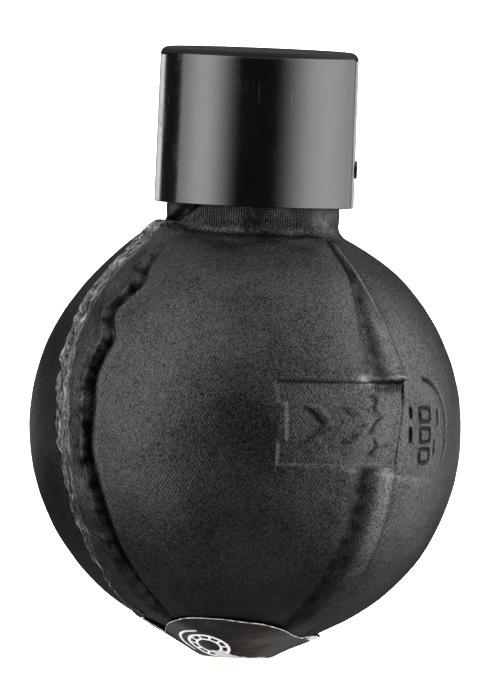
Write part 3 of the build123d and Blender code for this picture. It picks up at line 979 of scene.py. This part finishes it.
def make_label():
    rings, columns, thick, rim_rings = 70, 480, 0.11, 1
    share = np.append(np.linspace(1 / rings, 0.996, rings), 1.0)[:, None]
    bearing = np.linspace(0, 360, columns, endpoint=False)[None, :] + 0 * share
    reach = label_reach(bearing)
    radius = reach * share
    turn = wrapped(bearing)
    b = np.radians(bearing)
    flat = np.stack([radius * np.sin(b), -radius * np.cos(b)], -1)
    out = smooth(radius, 6.5, 15)
    stand = 0.26 + out * (0.14 + 0.14 * np.sin(b * 5 + 0.6) + 0.08 * waves(flat, 7, 61))
    stand += out * (0.3 * hump(turn, -60, 5) - 0.24 * hump(turn, -80, 40) + 0.5 * hump(turn, 84, 14))
    stand += 0.01 * waves(flat, 2.4, 62) * smooth(radius, 5, 8)
    low = cover_under(radius) - stand
    height = 0.5 * (low + np.sqrt(low ** 2 + 0.2 ** 2)) * smooth(radius, 3.6, 5.6)
    tilt = math.radians(CONE) * smooth(radius, 4.5, 6.5)
    bottom = np.stack([radius * np.sin(b), -radius * np.cos(b), height], -1)
    top = bottom + thick * np.stack([-np.sin(tilt) * np.sin(b), np.sin(tilt) * np.cos(b), np.cos(tilt)], -1)

    points = np.concatenate([bottom.reshape(-1, 3), [[0, 0, 0]], top.reshape(-1, 3), [[0, 0, thick]]]) * MM
    rows = share.shape[0]
    index = np.arange(rows * columns).reshape(rows, columns)
    index = np.concatenate([index, index[:, :1]], 1)
    over = index + rows * columns + 1

    def strip(a, b, c, d):
        return np.concatenate([np.stack(corners, -1).reshape(-1, 3) for corners in ((a, b, c), (a, c, d))])

    def sides(first, last):
        below, above = index[first:last + 1], over[first:last + 1]
        return [strip(below[:-1, :-1], below[:-1, 1:], below[1:, 1:], below[1:, :-1]),
                strip(above[:-1, :-1], above[1:, :-1], above[1:, 1:], above[:-1, 1:])]

    def fan(row, middle):
        return np.stack([row[:-1], row[1:], np.full(columns, middle)], -1)

    cut = rows - 1 - rim_rings
    black = sides(0, cut) + [fan(index[0][::-1], rows * columns), fan(over[0], 2 * rows * columns + 1)]
    pale = sides(cut, rows - 1) + [strip(index[-1, :-1], index[-1, 1:], over[-1, 1:], over[-1, :-1])]
    faces = np.concatenate(black + pale)
    uv = np.concatenate([flat.reshape(-1, 2), [[0, 0]]]) * MM
    piece = mesh_piece("printed_label", points, faces, uv)
    piece.data.materials.append(label_film())
    piece.data.materials.append(label_cut_edge())
    which = np.zeros(len(piece.data.polygons), np.int32)
    which[sum(len(part) for part in black):] = 1
    piece.data.polygons.foreach_set("material_index", which)
    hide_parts("base_label")
    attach(piece, "ball")


def label_film():
    """Glossy black film with a plain white ring mark, and a patch of bare backing paper."""
    n = Surface("glossy_label_film")
    flat = n.flat()
    x, y = (n.part(flat, axis) for axis in range(2))

    def line(value, at, width):
        away = n.math("ABSOLUTE", n.minus(value, at * MM))
        return n.ramp(away, 0.5 * width * MM, 0.85 * width * MM, 1, 0)

    def polar_from(centre_x, centre_y):
        dx, dy = n.minus(x, centre_x * MM), n.minus(y, centre_y * MM)
        return n.math("SQRT", n.plus(n.times(dx, dx), n.times(dy, dy))), n.math("ARCTAN2", dy, dx)

    distance, angle = polar_from(-4.2, -7.9)
    step = n.math("FRACT", n.times(angle, 10 / (2 * math.pi)))
    spoke = n.times(n.math("ABSOLUTE", n.minus(step, 0.5)), distance)
    spoke = n.times(n.ramp(spoke, 0.24 * MM, 0.36 * MM, 1, 0), n.ramp(distance, 3.1 * MM, 3.2 * MM, 1, 0),
                    n.ramp(distance, 1.8 * MM, 1.9 * MM))
    arc = n.times(line(distance, 4.5, 0.3), n.ramp(n.math("ABSOLUTE", angle), 2.0, 2.1))
    marks = n.most(line(distance, 3.1, 0.36), line(distance, 1.9, 0.3), spoke, arc)

    reach, round_axis = polar_from(0, 0)
    bearing = n.times(n.plus(round_axis, math.pi / 2), 180 / math.pi)
    torn = n.times(n.minus(n.noise(n.point, 500, 3), 0.5), 1.6 * MM)
    edge = n.plus(reach, torn)
    tapered = n.plus(edge, n.times(n.plus(bearing, 30), 0.05 * MM))
    patch = n.times(n.ramp(edge, 4.6 * MM, 4.9 * MM), n.ramp(tapered, 7.6 * MM, 7.9 * MM, 1, 0),
                    n.window(bearing, -32, -28, 3, 8))
    worn = n.times(n.window(edge, 4.9 * MM, 5.2 * MM, 5.7 * MM, 6.0 * MM),
                   n.window(bearing, -20, -12, 48, 60))
    corner = n.times(n.ramp(edge, 11.3 * MM, 11.6 * MM), n.window(bearing, 66, 70, 100, 106))
    paper = n.most(patch, worn, corner)

    tone = n.ramp(n.noise(n.point, 130, 2), 0.4, 0.6)
    colour = n.mix(tone, grey(0.003), (0.02, 0.012, 0.008, 1))
    # A painted reflection: a dark brown patch on the film, to the front and right
    brown_reflection = n.plus(polar_from(5.5, -9.5)[0], n.times(torn, 1.6))
    brown_reflection = n.times(n.ramp(brown_reflection, 4.6 * MM, 3.0 * MM), n.ramp(brown_reflection, 1.2 * MM, 2.6 * MM, 0.3, 1))
    colour = n.mix(brown_reflection, colour, (0.028, 0.014, 0.008, 1))
    colour = n.mix(marks, colour, grey(0.78))
    bare = n.mix(n.noise(n.point, 1200, 3), (0.66, 0.60, 0.54, 1), (0.48, 0.39, 0.31, 1))
    colour = n.mix(n.specks(300, 0.08, 0.12), n.mix(paper, colour, bare), grey(0.6))
    dull = n.most(paper, n.times(marks, 0.3))
    return n.finished(colour, n.ramp(dull, 0, 1, 0.14, 0.7, smooth=False),
                      (n.noise(n.point, 90, 0), 0.012), (n.noise(n.point, 2400, 2), 0.002),
                      specular=0.06)


def label_cut_edge():
    """The pale core that shows where the film is cut."""
    n = Surface("label_cut_edge")
    shade = n.noise(n.point, 1400, 3)
    colour = n.mix(n.ramp(shade, 0.35, 0.65), grey(0.16), grey(0.6, 0.02))
    return n.finished(colour, n.ramp(shade, 0.3, 0.7, 0.4, 0.6))


make_label()


# CAD nodes that keep their shape

def give(node, material):
    """A CAD node keeps its shape and gets a better material."""
    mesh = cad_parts[node].data
    mesh.materials.clear()
    mesh.materials.append(material)


def cap_material():
    """Glossy black moulding with fine scratches and dust."""
    n = Surface("gloss_black_cap")
    long_marks = n.noise(n.stretched(n.point, 1, 1, 0.035), 3000, 1, 0.5)
    short_marks = n.noise(n.stretched(n.point, 0.45, 0.45, 0.14), 3600, 1, 0.5, 0.8)
    scratch = n.plus(n.ramp(long_marks, 0.715, 0.75, 0, 0.7), n.ramp(short_marks, 0.73, 0.77, 0, 0.5))
    scratch = n.times(scratch, n.ramp(n.noise(n.point, 110, 2), 0.45, 0.65))
    dust = n.most(n.times(n.specks(900, 0.16, 0.05), 0.6), n.specks(300, 0.09, 0.09))
    grit = n.times(n.ramp(n.noise(n.point, 1500, 3, 0.6), 0.5, 0.72),
                   n.ramp(n.noise(n.point, 70, 2), 0.4, 0.6))
    haze = n.noise(n.point, 180, 5, 0.65)
    marks = n.plus(n.times(scratch, 0.35), n.times(dust, 0.6), clamp=True)
    roughness = n.plus(n.ramp(haze, 0.3, 0.75, 0.12, 0.2), n.times(marks, 0.3), n.times(grit, 0.1))
    return n.finished(n.mix(marks, grey(0.002), grey(0.10, 0.02)), roughness,
                      (n.noise(n.point, 120, 1), 0.02), (scratch, 0.005), (haze, 0.005),
                      (grit, 0.003), specular=0.5)


def cap_top_material():
    """The cap's top and its rounded rim, satin rather than glossy."""
    n = Surface("satin_black_cap_top")
    haze = n.noise(n.point, 200, 5, 0.65)
    colour = n.mix(n.specks(500, 0.06, 0.07), grey(0.004), grey(0.09, 0.02))
    return n.finished(colour, n.ramp(haze, 0.3, 0.75, 0.36, 0.48),
                      (n.noise(n.point, 2200, 2), 0.006), specular=0.035)


def top_faces(node, slot, depth):
    """Puts another of its materials on the top of a node, down to a depth."""
    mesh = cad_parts[node].data
    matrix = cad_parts[node].matrix_world
    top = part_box(node)[1].z
    for face in mesh.polygons:
        if (matrix @ face.center).z > top - depth:
            face.material_index = slot


def plain_plastic(name, tone, roughness):
    """Satin moulding with a little unevenness."""
    n = Surface(name)
    colour = n.mix(n.noise(n.point, 300, 3), grey(tone * 0.8), grey(tone * 1.2))
    patches = n.ramp(n.noise(n.point, 700, 2), 0.3, 0.7, roughness - 0.07, roughness + 0.07)
    return n.finished(colour, patches, (n.noise(n.point, 2500, 2), 0.01))


def foam_liner():
    """Pale closed-cell foam disc."""
    n = Surface("foam_liner")
    cells = n.add("ShaderNodeTexVoronoi", {"Vector": n.point, "Scale": 2600.0}).outputs["Distance"]
    colour = n.mix(n.noise(n.point, 240, 3), grey(0.34, 0.02), grey(0.5, 0.03))
    return n.finished(colour, n.ramp(cells, 0.2, 0.8, 0.6, 0.8), (cells, 0.05))


def twisted_thread():
    n = Surface("black_thread")
    twist = n.noise(n.stretched(n.point, 1, 1, 2.5), 3200, 2)
    return n.finished(n.mix(twist, grey(0.006), grey(0.04)), n.ramp(twist, 0.3, 0.7, 0.5, 0.7),
                      (twist, 0.05))


def turned_cloth():
    """The seam allowances, whose weave doesn't follow any panel."""
    n = Surface("black_turned_cloth")
    yarn = n.noise(n.point, 3200, 2, 0.6)
    return n.finished(n.mix(yarn, grey(0.004), grey(0.03)), n.ramp(yarn, 0.3, 0.7, 0.5, 0.7),
                      (yarn, 0.08))


give("cap", cap_material())
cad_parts["cap"].data.materials.append(cap_top_material())
top_faces("cap", 1, 0.9 * MM)  # down to the end of the rounded rim
give("cap_liner", foam_liner())
for node in ("shell_front_half", "shell_back_half", "base_plug"):
    give(node, plain_plastic(f"moulding_{node}", 0.05, 0.45))
give("neck_plug", plain_plastic("grey_plug", 0.2, 0.4))
give("neck_collar", plain_plastic("black_collar", 0.02, 0.35))
thread, allowance = twisted_thread(), turned_cloth()
for side in ("right", "back", "left"):
    give(f"seam_thread_{side}", thread)
    give(f"seam_strip_{side}", allowance)
